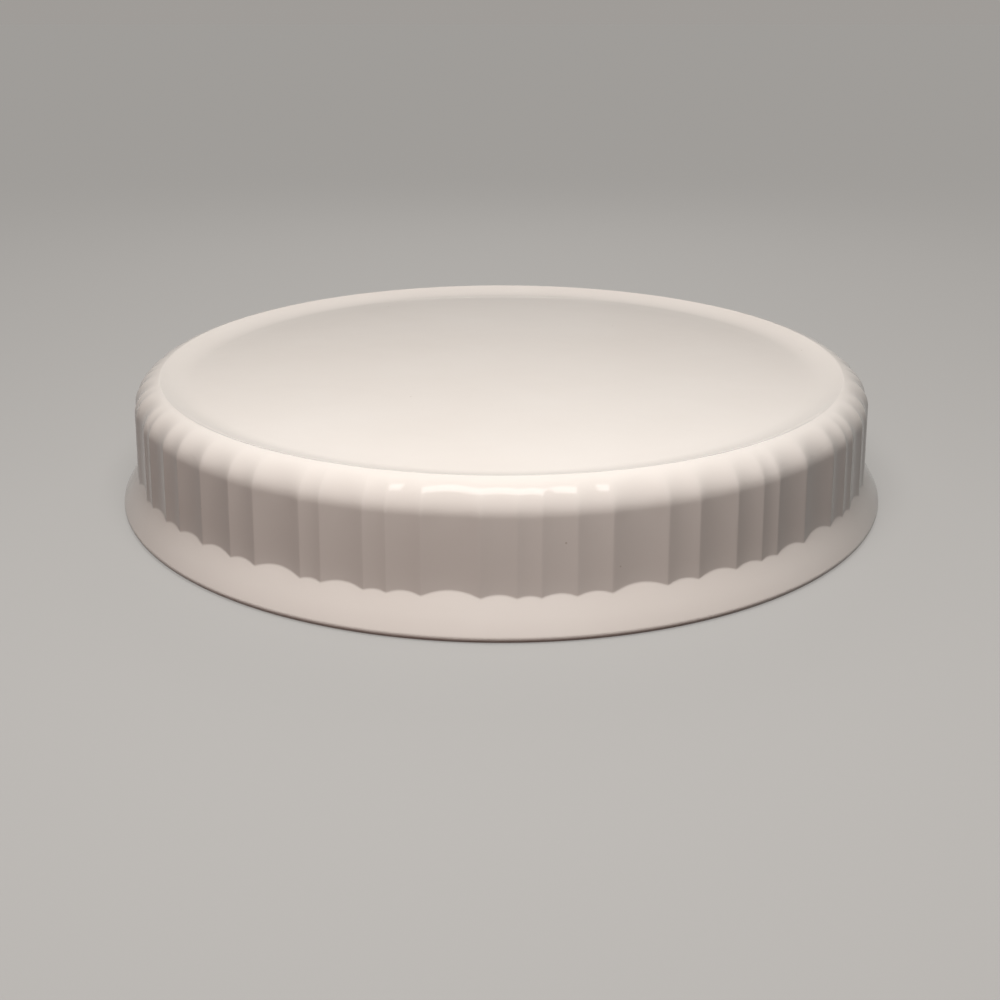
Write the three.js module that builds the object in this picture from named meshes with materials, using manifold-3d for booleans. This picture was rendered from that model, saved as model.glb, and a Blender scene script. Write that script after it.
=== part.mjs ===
// Round fluted baking dish, one fired ceramic piece, standing upside down on its rim.
// Millimetres, +Z up. The origin is the centre of the rim plane, and the foot ring is on top.
// Angles round the dish count from its front (-Y) towards +X.
import * as THREE from "three";
import { mergeVertices } from "three/addons/utils/BufferGeometryUtils.js";
import Module from "manifold-3d";

// Driving dimensions of the outside
const RIM_RADIUS = 127; // widest edge of the flared rim
const RIM_OVERHANG = 5.2; // how far the rim stands out past the flute ridges
const LIP_RADIUS = 1.4; // rounding of the rim's outer and inner edges
const BAND_HEIGHT = 10.3; // rim plane to where the ridges run into the plain rim band
const DISH_HEIGHT = 40; // rim plane to foot ring
const SHOULDER_RADIUS = 8.6; // rounding between the wall and the foot ring
const FOOT_RING_WIDTH = 1.2; // narrow flat ring that the dish stands on in use
const RECESS_DEPTH = 2.4; // how far the base lies behind the foot ring
const RECESS_SLOPE_WIDTH = 9.5; // curved slope from the foot ring down to the base
const WALL_DRAFT = THREE.MathUtils.degToRad(3.6); // lean of the wall, for release from its mould

// Driving dimensions of the inside
const WALL_THICKNESS = 4.6; // from a flute ridge to the inside
const BASE_THICKNESS = 5; // at the recessed base
const INSIDE_CORNER_RADIUS = 9; // between the inside wall and the inside floor

// Flutes: shallow hollows of uneven width that meet in sharp ridges.
// Each number is one flute's width in equal angular units, and the run repeats round the dish.
const FLUTE_RUN = [
  2, 4, 3, 4, 4, 3, 5, 2, 4, 2, 3, 5, 3, 2, 3, 3, 5, 3,
  4, 3, 2, 4, 5, 3, 2, 4, 3, 5, 4, 2, 4, 3, 2, 3, 4, 2, 5,
];
const FLUTE_RUNS = 2;
const FIRST_RIDGE = THREE.MathUtils.degToRad(-61.95); // angle at which a run starts
const FLUTE_HOLLOW = 0.042; // depth of a flute below its own chord, per width
const FLUTE_FADE = 3; // how early the flutes run out over the shoulder

// Fineness of the round surfaces
const LIP_STEPS = 2;
const SHOULDER_STEPS = 6;
const SLOPE_STEPS = 3;
const CORNER_STEPS = 4;
const TURNED_SEGMENTS = 96;
const CUT_MARGIN = 5; // how far a cutter runs past the face that it opens

const WHITE_GLAZE = new THREE.MeshStandardMaterial({
  color: 0xece6df,
  roughness: 0.12,
  metalness: 0,
});

// The ridge circle at the band, and the flare of the band, which touches the rounded lip.
const ridgeRadius = RIM_RADIUS - RIM_OVERHANG;
const lipCentre = new THREE.Vector2(RIM_RADIUS - LIP_RADIUS, LIP_RADIUS);
const lipOut = lipCentre.x - ridgeRadius;
const lipDown = BAND_HEIGHT - lipCentre.y;
const flare = Math.atan2(lipOut, lipDown) + Math.asin(LIP_RADIUS / Math.hypot(lipOut, lipDown));
const flareSlope = Math.tan(flare);
const draftSlope = Math.tan(WALL_DRAFT);

// The shoulder's centre, at which the rounding touches both the wall and the foot ring's plane.
const shoulderHeight = DISH_HEIGHT - SHOULDER_RADIUS;
const shoulderCentre = new THREE.Vector2(
  ridgeRadius - (shoulderHeight - BAND_HEIGHT) * draftSlope - SHOULDER_RADIUS / Math.cos(WALL_DRAFT),
  shoulderHeight,
);

// Directions in the profile plane, where x is the radius and y the height.
const OUT = 0;
const UP = Math.PI / 2;
const DOWN = -UP;

// A point of a circle in the profile plane.
function onCircle(centre, radius, angle) {
  return new THREE.Vector2(centre.x + radius * Math.cos(angle), centre.y + radius * Math.sin(angle));
}

// Points along an arc in the profile plane.
function arc(centre, radius, from, to, steps) {
  const points = [];
  for (let i = 0; i <= steps; i++) {
    points.push(onCircle(centre, radius, THREE.MathUtils.lerp(from, to, i / steps)));
  }
  return points;
}

// One entry for each angular unit round the dish: its angle, and how deep the flute is there.
function fluteColumns() {
  const unitsInRun = FLUTE_RUN.reduce((sum, width) => sum + width, 0);
  const unit = (2 * Math.PI) / (FLUTE_RUNS * unitsInRun);
  const columns = [];
  for (let run = 0; run < FLUTE_RUNS; run++) {
    for (const width of FLUTE_RUN) {
      const half = (width * unit) / 2;
      const chordInset = ridgeRadius * (1 - Math.cos(half));
      const hollow = FLUTE_HOLLOW * 2 * ridgeRadius * Math.sin(half);
      for (let step = 0; step < width; step++) {
        const across = (2 * step) / width - 1;
        columns.push({
          angle: FIRST_RIDGE + columns.length * unit,
          depth: (chordInset + hollow) * (1 - across * across),
        });
      }
    }
  }
  return columns;
}

// The outside profile at one angle, from the rim plane up to the foot ring's outer edge.
// A flute meets the leaning band higher up where it is deeper, which gives the scalloped line.
function outsideProfile(depth) {
  const lip = arc(lipCentre, LIP_RADIUS, DOWN, OUT, LIP_STEPS);
  const bandEdge = onCircle(lipCentre, LIP_RADIUS, flare);
  const rise = depth / (flareSlope - draftSlope);
  const scallop = new THREE.Vector2(ridgeRadius - rise * flareSlope, BAND_HEIGHT + rise);
  const shoulder = [];
  for (let i = 0; i <= SHOULDER_STEPS; i++) {
    const share = i / SHOULDER_STEPS;
    const angle = THREE.MathUtils.lerp(WALL_DRAFT, UP, share);
    const left = (1 - share * share) ** FLUTE_FADE;
    shoulder.push(onCircle(shoulderCentre, SHOULDER_RADIUS - depth * left, angle));
  }
  return [...lip, bandEdge, scallop, ...shoulder];
}

// The closed fluted block: a ring of points for each step of the profile, and a flat disc at each end.
function flutedBlock() {
  const columns = fluteColumns();
  const profiles = columns.map((column) => outsideProfile(column.depth));
  const rings = profiles[0].length;
  const around = columns.length;
  const positions = [];
  for (let ring = 0; ring < rings; ring++) {
    for (let i = 0; i < around; i++) {
      const { x: radius, y: height } = profiles[i][ring];
      positions.push(radius * Math.sin(columns[i].angle), -radius * Math.cos(columns[i].angle), height);
    }
  }
  const bottomCentre = rings * around;
  const topCentre = bottomCentre + 1;
  const lastRing = (rings - 1) * around;
  positions.push(0, 0, 0, 0, 0, DISH_HEIGHT);
  const faces = [];
  for (let i = 0; i < around; i++) {
    const next = (i + 1) % around;
    faces.push(bottomCentre, next, i, topCentre, lastRing + i, lastRing + next);
    for (let low = 0; low < lastRing; low += around) {
      const high = low + around;
      faces.push(low + i, low + next, high + next, low + i, high + next, high + i);
    }
  }
  const geometry = new THREE.BufferGeometry();
  geometry.setAttribute("position", new THREE.Float32BufferAttribute(positions, 3));
  geometry.setIndex(faces);
  return geometry;
}

// A turned solid about +Z, from a profile that starts and ends on the axis.
function turned(profile) {
  return new THREE.LatheGeometry(profile, TURNED_SEGMENTS).rotateX(Math.PI / 2);
}

// The shallow recess of the base: a flat floor and a slope that curves up to the foot ring.
function recessCutter() {
  const crestRadius = shoulderCentre.x - FOOT_RING_WIDTH;
  const floorRadius = crestRadius - RECESS_SLOPE_WIDTH;
  const slopeRadius = (RECESS_SLOPE_WIDTH ** 2 + RECESS_DEPTH ** 2) / (2 * RECESS_DEPTH);
  const floorHeight = DISH_HEIGHT - RECESS_DEPTH;
  const slopeCentre = new THREE.Vector2(floorRadius, floorHeight + slopeRadius);
  const slopeEnd = DOWN + Math.asin(RECESS_SLOPE_WIDTH / slopeRadius);
  return turned([
    new THREE.Vector2(0, floorHeight),
    ...arc(slopeCentre, slopeRadius, DOWN, slopeEnd, SLOPE_STEPS),
    new THREE.Vector2(crestRadius, DISH_HEIGHT + CUT_MARGIN),
    new THREE.Vector2(0, DISH_HEIGHT + CUT_MARGIN),
  ]);
}

// The inside of the dish, which follows the band and the wall at the wall's thickness.
function insideCutter() {
  const bandOffset = WALL_THICKNESS / Math.cos(flare);
  const wallOffset = WALL_THICKNESS / Math.cos(WALL_DRAFT);
  const bandRadius = (height) => ridgeRadius - bandOffset - (height - BAND_HEIGHT) * flareSlope;
  const wallRadius = (height) => ridgeRadius - wallOffset - (height - BAND_HEIGHT) * draftSlope;
  const bendHeight = BAND_HEIGHT + (wallOffset - bandOffset) / (flareSlope - draftSlope);
  const floorHeight = DISH_HEIGHT - RECESS_DEPTH - BASE_THICKNESS;
  const cornerHeight = floorHeight - INSIDE_CORNER_RADIUS;
  const cornerCentre = new THREE.Vector2(
    wallRadius(cornerHeight) - INSIDE_CORNER_RADIUS / Math.cos(WALL_DRAFT),
    cornerHeight,
  );
  const innerLipCentre = new THREE.Vector2(bandRadius(LIP_RADIUS) + LIP_RADIUS / Math.cos(flare), LIP_RADIUS);
  return turned([
    new THREE.Vector2(0, -CUT_MARGIN),
    new THREE.Vector2(innerLipCentre.x, -CUT_MARGIN),
    ...arc(innerLipCentre, LIP_RADIUS, DOWN, flare - Math.PI, LIP_STEPS),
    new THREE.Vector2(wallRadius(bendHeight), bendHeight),
    ...arc(cornerCentre, INSIDE_CORNER_RADIUS, WALL_DRAFT, UP, CORNER_STEPS),
    new THREE.Vector2(0, floorHeight),
  ]);
}

const wasm = await Module();
wasm.setup();

// A closed geometry as a solid: shared corners are merged, and faces that shrink to a line go.
function solidFrom(geometry) {
  geometry.deleteAttribute("normal");
  geometry.deleteAttribute("uv");
  const merged = mergeVertices(geometry);
  const corners = merged.index.array;
  const triVerts = [];
  for (let i = 0; i < corners.length; i += 3) {
    const [a, b, c] = corners.subarray(i, i + 3);
    if (a !== b && b !== c && c !== a) triVerts.push(a, b, c);
  }
  const vertProperties = merged.getAttribute("position").array;
  return new wasm.Manifold(
    new wasm.Mesh({ numProp: 3, vertProperties, triVerts: new Uint32Array(triVerts) }),
  );
}

// A solid back as a geometry that can be drawn.
function geometryFrom(solid) {
  const mesh = solid.getMesh();
  const geometry = new THREE.BufferGeometry();
  geometry.setAttribute("position", new THREE.BufferAttribute(mesh.vertProperties, mesh.numProp));
  geometry.setIndex(new THREE.BufferAttribute(mesh.triVerts, 1));
  geometry.computeVertexNormals();
  return geometry;
}

const dishSolid = solidFrom(flutedBlock())
  .subtract(solidFrom(recessCutter()))
  .subtract(solidFrom(insideCutter()));
const dish = new THREE.Mesh(geometryFrom(dishSolid), WHITE_GLAZE);
dish.name = "dish";

const group = new THREE.Group();
group.add(dish);

export default group;
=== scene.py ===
import math

import bpy
import numpy as np
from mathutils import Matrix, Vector


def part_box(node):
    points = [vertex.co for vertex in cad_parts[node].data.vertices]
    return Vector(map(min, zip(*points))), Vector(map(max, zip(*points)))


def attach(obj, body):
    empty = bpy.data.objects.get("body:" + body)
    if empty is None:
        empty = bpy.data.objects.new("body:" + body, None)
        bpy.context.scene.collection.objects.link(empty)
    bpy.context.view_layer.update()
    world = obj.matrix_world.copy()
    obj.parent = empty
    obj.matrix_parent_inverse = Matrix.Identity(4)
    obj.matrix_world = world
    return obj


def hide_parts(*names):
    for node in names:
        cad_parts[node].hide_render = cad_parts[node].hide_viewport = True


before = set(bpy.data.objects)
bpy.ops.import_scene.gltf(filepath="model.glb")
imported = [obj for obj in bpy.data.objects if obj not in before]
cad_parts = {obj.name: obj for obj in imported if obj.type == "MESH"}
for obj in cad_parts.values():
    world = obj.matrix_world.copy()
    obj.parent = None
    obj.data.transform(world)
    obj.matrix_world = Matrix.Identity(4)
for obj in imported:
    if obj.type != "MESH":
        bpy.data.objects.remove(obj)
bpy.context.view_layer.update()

# The dish
# One piece of white ceramic, formed in a fluted mould, glazed all over and fired. It stands upside
# down on its rim, so its recessed base and foot ring are on top. Sizes are in metres.
dish_low, dish_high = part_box("dish")
rim_radius = (dish_high.x - dish_low.x) / 2
dish_height = dish_high.z
rim_overhang = 0.0052
lip_radius = 0.0014
band_height = 0.0103
wall_draft = math.radians(3.6)
shoulder_width = 0.0100
shoulder_drop = 0.0093
crest_radius = 0.0012
crest_lean = math.radians(10)
recess_depth = 0.00225
recess_slope = math.radians(28)
floor_edge_radius = 0.0885
floor_edge_lean = math.radians(-1)
wall_thickness = 0.0046
base_thickness = 0.0050
inside_corner_radius = 0.0090
inside_bend_length = 0.0025
scallop_rounding = 0.0004

# The flutes are shallow hollows that meet in ridges. Their widths are counted in
# equal angular units, and the run of widths repeats on the far side of the dish.
flute_run = (
    2, 4, 3, 4, 4, 3, 5, 2, 4, 2, 3, 5, 3, 2, 3, 3, 5, 3,
    4, 3, 2, 4, 5, 3, 2, 4, 3, 5, 4, 2, 4, 3, 2, 3, 4, 2, 5,
)
flute_runs = 2
first_ridge = math.radians(-61.95)
flute_hollow = 0.042
flute_hold = 3
flute_fade = 2.2
wall_ridge_softness = 0.08
shoulder_ridge_softness = 1.3

# How finely each stretch of the mesh is divided.
steps_per_flute = 6
steps_per_flute_unit = 2
lip_steps = 10
inside_lip_steps = 6
inside_bend_steps = 6
inside_corner_steps = 10
inside_floor_steps = 6
scallop_steps = 4
wall_steps = 4
shoulder_steps = 24
crest_steps = 8
recess_slope_steps = 10
base_steps = 8

# The flare of the band, which touches the rounded lip.
ridge_radius = rim_radius - rim_overhang
lip_out = rim_overhang - lip_radius
lip_down = band_height - lip_radius
flare = math.atan2(lip_out, lip_down) + math.asin(lip_radius / math.hypot(lip_out, lip_down))
flare_slope = math.tan(flare)
draft_slope = math.tan(wall_draft)

# The shoulder is a stretch of an ellipse, from the leaning wall to the edge of the crest.
wall_end = math.atan(draft_slope * shoulder_drop / shoulder_width)
crest_end = math.atan(shoulder_drop / (shoulder_width * math.tan(crest_lean)))
crest_rise = crest_radius * (1 - math.cos(crest_lean))
shoulder_height = dish_height - crest_rise - shoulder_drop * math.sin(crest_end)
shoulder_reach = math.hypot(shoulder_width, shoulder_drop * draft_slope)
shoulder_radius = ridge_radius - (shoulder_height - band_height) * draft_slope - shoulder_reach


def flute_columns():
    """Angles round the dish, close together at the ridges, the deepest point of the flute at
    each, and a share that is 0 on the ridges and 1 in the middle of the flute."""
    unit = 2 * math.pi / (flute_runs * sum(flute_run))
    angles = []
    depths = []
    shares = []
    start = first_ridge
    for width in flute_run * flute_runs:
        half = width * unit / 2
        chord_inset = ridge_radius * (1 - math.cos(half))
        chord = 2 * ridge_radius * math.sin(half)
        steps = steps_per_flute_unit * width + steps_per_flute
        for step in range(steps):
            across = -math.cos(math.pi * step / steps)
            angles.append(start + half * (1 + across))
            depths.append(chord_inset + flute_hollow * chord)
            shares.append(1 - across * across)
        start += width * unit
    return np.array(angles), np.array(depths), np.array(shares)


def softened(share, softness):
    """The share of a flute's depth, with its ridges rounded off by the glaze."""
    return (np.hypot(share, softness) - softness) / (math.hypot(1, softness) - softness)


def between(first, second, share):
    """A ring part of the way from one ring to another. A ring is a radius and a height."""
    return tuple(a + (b - a) * share for a, b in zip(first, second))


def arc(centre, radius, start, stop, steps):
    """Rings along an arc of the profile."""
    rings = []
    for angle in np.linspace(start, stop, steps + 1):
        rings.append((centre[0] + radius * math.cos(angle), centre[1] + radius * math.sin(angle)))
    return rings


def bend(before, corner, after, steps):
    """Rings that round a corner of the profile, on a curve that leaves along both of its sides."""
    rings = []
    for share in np.linspace(0, 1, steps + 1):
        arriving = between(before, corner, share)
        leaving = between(corner, after, share)
        rings.append(between(arriving, leaving, share))
    return rings


def inside_rings():
    """The smooth inside, from near the middle of its floor to the flat of the rim."""
    band_offset = wall_thickness / math.cos(flare)
    wall_offset = wall_thickness / math.cos(wall_draft)

    def wall(height):
        return (ridge_radius - wall_offset - (height - band_height) * draft_slope, height)

    def band(height):
        return (ridge_radius - band_offset - (height - band_height) * flare_slope, height)

    floor_height = dish_height - recess_depth - base_thickness
    corner_height = floor_height - inside_corner_radius
    corner = (wall(corner_height)[0] - inside_corner_radius / math.cos(wall_draft), corner_height)
    floor_shares = np.linspace(0, 1, inside_floor_steps + 1)[1:-1]
    bend_height = band_height + (wall_offset - band_offset) / (flare_slope - draft_slope)
    bend_start = wall(bend_height + inside_bend_length)
    bend_stop = band(bend_height - inside_bend_length)
    lip = (band(lip_radius)[0] + lip_radius / math.cos(flare), lip_radius)
    return [
        *[(corner[0] * share, floor_height) for share in floor_shares],
        *arc(corner, inside_corner_radius, math.pi / 2, wall_draft, inside_corner_steps),
        *bend(bend_start, wall(bend_height), bend_stop, inside_bend_steps),
        *arc(lip, lip_radius, math.pi + flare, 1.5 * math.pi, inside_lip_steps),
    ]


def on_shoulder(angle, hollow):
    """A ring of the shoulder, sunk by the depth of a flute."""
    return (
        shoulder_radius + (shoulder_width - hollow) * math.cos(angle),
        shoulder_height + (shoulder_drop - hollow) * math.sin(angle),
    )


def outside_rings(depths, shares):
    """The outside with these flutes, from the lip up over the shoulder to the edge of the crest."""
    wall_depth = depths * softened(shares, wall_ridge_softness)

    def band(height):
        return (ridge_radius - (height - band_height) * flare_slope, height)

    def wall(height):
        return (ridge_radius - wall_depth - (height - band_height) * draft_slope, height)

    # a flute meets the leaning band higher up where it is deeper, which gives the scalloped line
    scallop = band_height + wall_depth / (flare_slope - draft_slope)
    scallop_start = band(scallop - scallop_rounding)
    scallop_stop = wall(scallop + scallop_rounding)
    lip = (rim_radius - lip_radius, lip_radius)
    lip_top = lip_radius * (1 + math.sin(flare))
    wall_top = shoulder_height + shoulder_drop * math.sin(wall_end)
    rings = [
        *arc(lip, lip_radius, -math.pi / 2, flare, lip_steps),
        band((lip_top + scallop - scallop_rounding) / 2),
        *bend(scallop_start, band(scallop), scallop_stop, scallop_steps),
    ]
    for rise in np.linspace(0, 1, wall_steps + 1)[1:-1]:
        rings.append(wall(scallop + (wall_top - scallop) * rise))
    for turn in np.linspace(0, 1, shoulder_steps + 1):
        softness = wall_ridge_softness + shoulder_ridge_softness * turn
        hollow = depths * softened(shares, softness) * (1 - turn ** flute_hold) ** flute_fade
        rings.append(on_shoulder(wall_end + (crest_end - wall_end) * turn, hollow))
    return rings


def base_rings():
    """The rounded crest of the foot ring, its inner slope and the recessed base, to near the middle."""
    crest_edge = on_shoulder(crest_end, 0)
    crest = (
        crest_edge[0] - crest_radius * math.sin(crest_lean),
        crest_edge[1] - crest_radius * math.cos(crest_lean),
    )
    crest_rings = arc(
        crest, crest_radius, math.pi / 2 - crest_lean, math.pi / 2 + recess_slope, crest_steps
    )
    slope_top = crest_rings[-1]
    floor_height = dish_height - recess_depth

    # the slope is an arc that runs down to the leaning edge of the floor
    across = slope_top[0] - floor_edge_radius
    drop = slope_top[1] - floor_height
    turn_across = math.sin(recess_slope) - math.sin(floor_edge_lean)
    turn_down = math.cos(floor_edge_lean) - math.cos(recess_slope)
    lean = math.tan(floor_edge_lean)
    slope_radius = (drop - across * lean) / (turn_down - turn_across * lean)
    slope_centre = (
        slope_top[0] - slope_radius * math.sin(recess_slope),
        slope_top[1] + slope_radius * math.cos(recess_slope),
    )
    slope_start = recess_slope - math.pi / 2
    slope_stop = floor_edge_lean - math.pi / 2
    slope_rings = arc(slope_centre, slope_radius, slope_start, slope_stop, recess_slope_steps)
    floor_edge = (floor_edge_radius, floor_height)
    floor_shares = np.linspace(1, 0, base_steps + 1)[:-1]
    return [
        *crest_rings[1:],
        *slope_rings[1:],
        between(slope_rings[-1], floor_edge, 0.5),
        *[(floor_edge_radius * share, floor_height) for share in floor_shares],
    ]


def dish_mesh():
    """All rings joined by quads, with a fan of triangles at the middle of the inside and of the base."""
    angles, depths, shares = flute_columns()
    rings = [*inside_rings(), *outside_rings(depths, shares), *base_rings()]
    around = len(angles)
    points = []
    for radius, height in rings:
        radius = np.broadcast_to(radius, around)
        height = np.broadcast_to(height, around)
        points.append(np.stack([radius * np.sin(angles), -radius * np.cos(angles), height], 1))
    points = np.concatenate(points)
    inside_middle = len(points)
    base_middle = inside_middle + 1
    last = len(points) - around
    middles = [(0, 0, points[0][2]), (0, 0, points[last][2])]
    faces = []
    for i in range(around):
        j = (i + 1) % around
        faces.append((inside_middle, j, i))
        faces.append((last + i, last + j, base_middle))
        for low in range(0, last, around):
            faces.append((low + i, low + j, low + around + j, low + around + i))
    mesh = bpy.data.meshes.new("fluted_dish")
    mesh.from_pydata([*points.tolist(), *middles], [], faces)
    mesh.update()
    mesh.shade_smooth()
    return mesh


fluted_dish = bpy.data.objects.new("fluted_dish", dish_mesh())
bpy.context.scene.collection.objects.link(fluted_dish)

# The glaze is a warm white that lies a little uneven, with faint clouds, a slight ripple in its
# shine and a few tiny specks from the firing.
cloud_shade = (0.785, 0.737, 0.690, 1)
cloud_light = (0.815, 0.773, 0.730, 1)
cloud_low = 0.3
cloud_high = 0.7
speck_shade = (0.56, 0.49, 0.43, 1)
smoothest_shine = 0.045
dullest_shine = 0.075
ripple_height = 0.00008

white_glaze = bpy.data.materials.new("white_glaze")
white_glaze.use_nodes = True
glaze_nodes = white_glaze.node_tree.nodes
glaze_links = white_glaze.node_tree.links
glaze = glaze_nodes["Principled BSDF"]
glaze.inputs["IOR"].default_value = 1.5
place_on_dish = glaze_nodes.new("ShaderNodeTexCoord")

clouds = glaze_nodes.new("ShaderNodeTexNoise")
clouds.inputs["Scale"].default_value = 14
clouds.inputs["Detail"].default_value = 3
glaze_links.new(place_on_dish.outputs["Object"], clouds.inputs["Vector"])
cloud_colour = glaze_nodes.new("ShaderNodeValToRGB")
cloud_colour.color_ramp.elements[0].position = cloud_low
cloud_colour.color_ramp.elements[0].color = cloud_shade
cloud_colour.color_ramp.elements[1].position = cloud_high
cloud_colour.color_ramp.elements[1].color = cloud_light
glaze_links.new(clouds.outputs["Fac"], cloud_colour.inputs["Fac"])

speck_cells = glaze_nodes.new("ShaderNodeTexVoronoi")
speck_cells.inputs["Scale"].default_value = 70
glaze_links.new(place_on_dish.outputs["Object"], speck_cells.inputs["Vector"])
speck_size = glaze_nodes.new("ShaderNodeMapRange")
speck_size.inputs["From Min"].default_value = 0.006
speck_size.inputs["From Max"].default_value = 0.026
speck_size.inputs["To Min"].default_value = 1
speck_size.inputs["To Max"].default_value = 0
glaze_links.new(speck_cells.outputs["Distance"], speck_size.inputs["Value"])
speck_colour = glaze_nodes.new("ShaderNodeMix")
speck_colour.data_type = "RGBA"
speck_colour.inputs["B"].default_value = speck_shade
glaze_links.new(speck_size.outputs["Result"], speck_colour.inputs["Factor"])
glaze_links.new(cloud_colour.outputs["Color"], speck_colour.inputs["A"])
glaze_links.new(speck_colour.outputs["Result"], glaze.inputs["Base Color"])

shine = glaze_nodes.new("ShaderNodeMapRange")
shine.inputs["From Min"].default_value = cloud_low
shine.inputs["From Max"].default_value = cloud_high
shine.inputs["To Min"].default_value = smoothest_shine
shine.inputs["To Max"].default_value = dullest_shine
glaze_links.new(clouds.outputs["Fac"], shine.inputs["Value"])
glaze_links.new(shine.outputs["Result"], glaze.inputs["Roughness"])

ripple = glaze_nodes.new("ShaderNodeTexNoise")
ripple.inputs["Scale"].default_value = 90
ripple.inputs["Detail"].default_value = 2
glaze_links.new(place_on_dish.outputs["Object"], ripple.inputs["Vector"])
ripple_bump = glaze_nodes.new("ShaderNodeBump")
ripple_bump.inputs["Strength"].default_value = 0.5
ripple_bump.inputs["Distance"].default_value = ripple_height
glaze_links.new(ripple.outputs["Fac"], ripple_bump.inputs["Height"])
glaze_links.new(ripple_bump.outputs["Normal"], glaze.inputs["Normal"])
fluted_dish.data.materials.append(white_glaze)

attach(fluted_dish, "root")
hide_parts("dish")

# The floor
# A plain pale sheet that runs far past the view, to a soft horizon. It is pale to the camera and
# in reflections, and throws hardly any light up at the dish.
floor_half = 20.0
sheet_dark = (0.02, 0.017, 0.015, 1)
sheet_seen = (0.15, 0.148, 0.145, 1)
sheet_glow = (0.335, 0.322, 0.306, 1)

floor_mesh = bpy.data.meshes.new("floor")
floor_mesh.from_pydata(
    [
        (-floor_half, -floor_half, 0),
        (floor_half, -floor_half, 0),
        (floor_half, floor_half, 0),
        (-floor_half, floor_half, 0),
    ],
    [],
    [(0, 1, 2, 3)],
)
floor = bpy.data.objects.new("floor", floor_mesh)
bpy.context.scene.collection.objects.link(floor)


def seen_rays(nodes, links):
    """A socket that is 1 on rays from the camera, from a reflection or through glass, and else 0."""
    path = nodes.new("ShaderNodeLightPath")
    seen_or_mirrored = nodes.new("ShaderNodeMath")
    seen_or_mirrored.operation = "MAXIMUM"
    links.new(path.outputs["Is Camera Ray"], seen_or_mirrored.inputs[0])
    links.new(path.outputs["Is Glossy Ray"], seen_or_mirrored.inputs[1])
    seen = nodes.new("ShaderNodeMath")
    seen.operation = "MAXIMUM"
    links.new(seen_or_mirrored.outputs[0], seen.inputs[0])
    links.new(path.outputs["Is Transmission Ray"], seen.inputs[1])
    return seen.outputs[0]


pale_sheet = bpy.data.materials.new("pale_sheet")
pale_sheet.use_nodes = True
sheet_nodes = pale_sheet.node_tree.nodes
sheet_links = pale_sheet.node_tree.links
sheet = sheet_nodes["Principled BSDF"]
sheet.inputs["Roughness"].default_value = 0.9
sheet.inputs["Specular IOR Level"].default_value = 0.1
sheet.inputs["Emission Color"].default_value = sheet_glow
sheet_rays = seen_rays(sheet_nodes, sheet_links)
sheet_colour = sheet_nodes.new("ShaderNodeMix")
sheet_colour.data_type = "RGBA"
sheet_colour.inputs["A"].default_value = sheet_dark
sheet_colour.inputs["B"].default_value = sheet_seen
sheet_links.new(sheet_rays, sheet_colour.inputs["Factor"])
sheet_links.new(sheet_colour.outputs["Result"], sheet.inputs["Base Color"])
sheet_links.new(sheet_rays, sheet.inputs["Emission Strength"])
floor_mesh.materials.append(pale_sheet)

# The lights
# Four soft boxes: one above the front of the dish, a weaker one beside it that draws the bright
# strips on the front shoulder, one from behind, and a faint warm one far behind the camera.
lamp_white = (1, 0.975, 0.95)
lamp_warm = (1, 0.35, 0.2)


def soft_box(name, place, target, width, depth, watts, colour, mirrored):
    lamp = bpy.data.lights.new(name, "AREA")
    lamp.shape = "RECTANGLE"
    lamp.size = width
    lamp.size_y = depth
    lamp.energy = watts
    lamp.color = colour
    box = bpy.data.objects.new(name, lamp)
    box.location = place
    box.rotation_euler = (Vector(target) - Vector(place)).to_track_quat("-Z", "Y").to_euler()
    box.visible_glossy = mirrored
    bpy.context.scene.collection.objects.link(box)


soft_box(
    "overhead_box",
    place=(-0.015, -0.195, 0.408),
    target=(0, 0, 0),
    width=0.26,
    depth=0.26,
    watts=1.74,
    colour=lamp_white,
    mirrored=False,
)
soft_box(
    "shine_box",
    place=(-0.005, -0.205, 0.402),
    target=(0, -0.05, 0),
    width=0.26,
    depth=0.14,
    watts=0.37,
    colour=lamp_white,
    mirrored=True,
)
soft_box(
    "rear_box",
    place=(0, 0.45, 0.4),
    target=(0, 0, 0),
    width=0.4,
    depth=0.2,
    watts=0.8,
    colour=lamp_white,
    mirrored=False,
)
soft_box(
    "front_box",
    place=(-0.5, -1.8, 0.6),
    target=(0, 0, 0),
    width=0.8,
    depth=0.8,
    watts=2.3,
    colour=lamp_warm,
    mirrored=False,
)

# The backdrop
# A plain warm room all round. It starts at the floor's tone, and is brightest in front of the dish
# and at middle height. The camera and the glaze see it, and hardly any of its light falls on the dish.
room_colour = (1, 0.95, 0.9, 1)
room_light = 0.012
horizon_level = 0.351
horizon_top = math.sin(math.radians(14))
front_level = 0.85
rear_level = 0.2
front_end = -0.7
rear_end = 0.7
ceiling_level = 0.4
ceiling_start = math.sin(math.radians(30))
ceiling_end = math.sin(math.radians(60))

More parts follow.
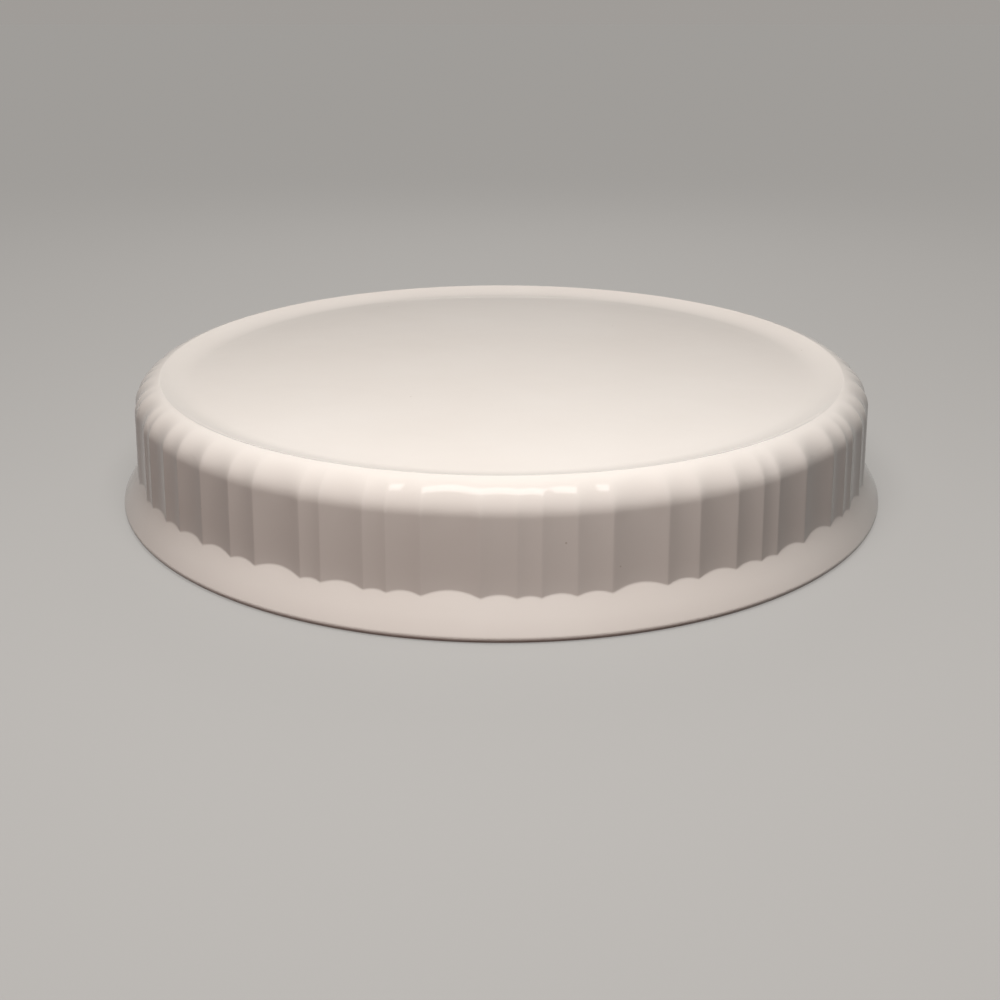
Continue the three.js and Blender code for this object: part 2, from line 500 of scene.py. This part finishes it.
room = bpy.data.worlds.new("studio")
bpy.context.scene.world = room
room.use_nodes = True
room_nodes = room.node_tree.nodes
room_links = room.node_tree.links
room_glow = room_nodes["Background"]
room_glow.inputs["Color"].default_value = room_colour
direction = room_nodes.new("ShaderNodeTexCoord")
direction_axes = room_nodes.new("ShaderNodeSeparateXYZ")
room_links.new(direction.outputs["Generated"], direction_axes.inputs["Vector"])


def room_fade(axis, start, stop, start_level, stop_level):
    """A socket with a soft change of level along one axis of the direction that is looked in."""
    fade = room_nodes.new("ShaderNodeMapRange")
    fade.interpolation_type = "SMOOTHSTEP"
    fade.inputs["From Min"].default_value = start
    fade.inputs["From Max"].default_value = stop
    fade.inputs["To Min"].default_value = start_level
    fade.inputs["To Max"].default_value = stop_level
    room_links.new(direction_axes.outputs[axis], fade.inputs["Value"])
    return fade.outputs["Result"]


room_level = room_nodes.new("ShaderNodeMath")
room_level.operation = "MULTIPLY"
room_links.new(room_fade("Z", ceiling_start, ceiling_end, 1, ceiling_level), room_level.inputs[0])
room_links.new(room_fade("Y", front_end, rear_end, front_level, rear_level), room_level.inputs[1])
horizon_rise = room_nodes.new("ShaderNodeMix")
horizon_rise.inputs["A"].default_value = horizon_level
room_links.new(room_fade("Z", 0, horizon_top, 0, 1), horizon_rise.inputs["Factor"])
room_links.new(room_level.outputs[0], horizon_rise.inputs["B"])
glow_level = room_nodes.new("ShaderNodeMix")
glow_level.inputs["A"].default_value = room_light
room_links.new(seen_rays(room_nodes, room_links), glow_level.inputs["Factor"])
room_links.new(horizon_rise.outputs["Result"], glow_level.inputs["B"])
room_links.new(glow_level.outputs["Result"], room_glow.inputs["Strength"])

# The camera
# It looks a little down at the front of the dish, from close by. Its sensor and lens are in
# millimetres.
camera_distance = 0.4138
camera_height_angle = math.radians(20.8)
camera_target = Vector((-0.000465, 0, -0.0129))
eye = bpy.data.cameras.new("eye")
eye.sensor_width = 36
eye.lens = 42.3
camera = bpy.data.objects.new("camera", eye)
camera.location = (
    0,
    -camera_distance * math.cos(camera_height_angle),
    camera_distance * math.sin(camera_height_angle),
)
camera.rotation_euler = (camera_target - camera.location).to_track_quat("-Z", "Y").to_euler()
bpy.context.scene.collection.objects.link(camera)
bpy.context.scene.camera = camera
bpy.context.scene.view_settings.view_transform = "Standard"
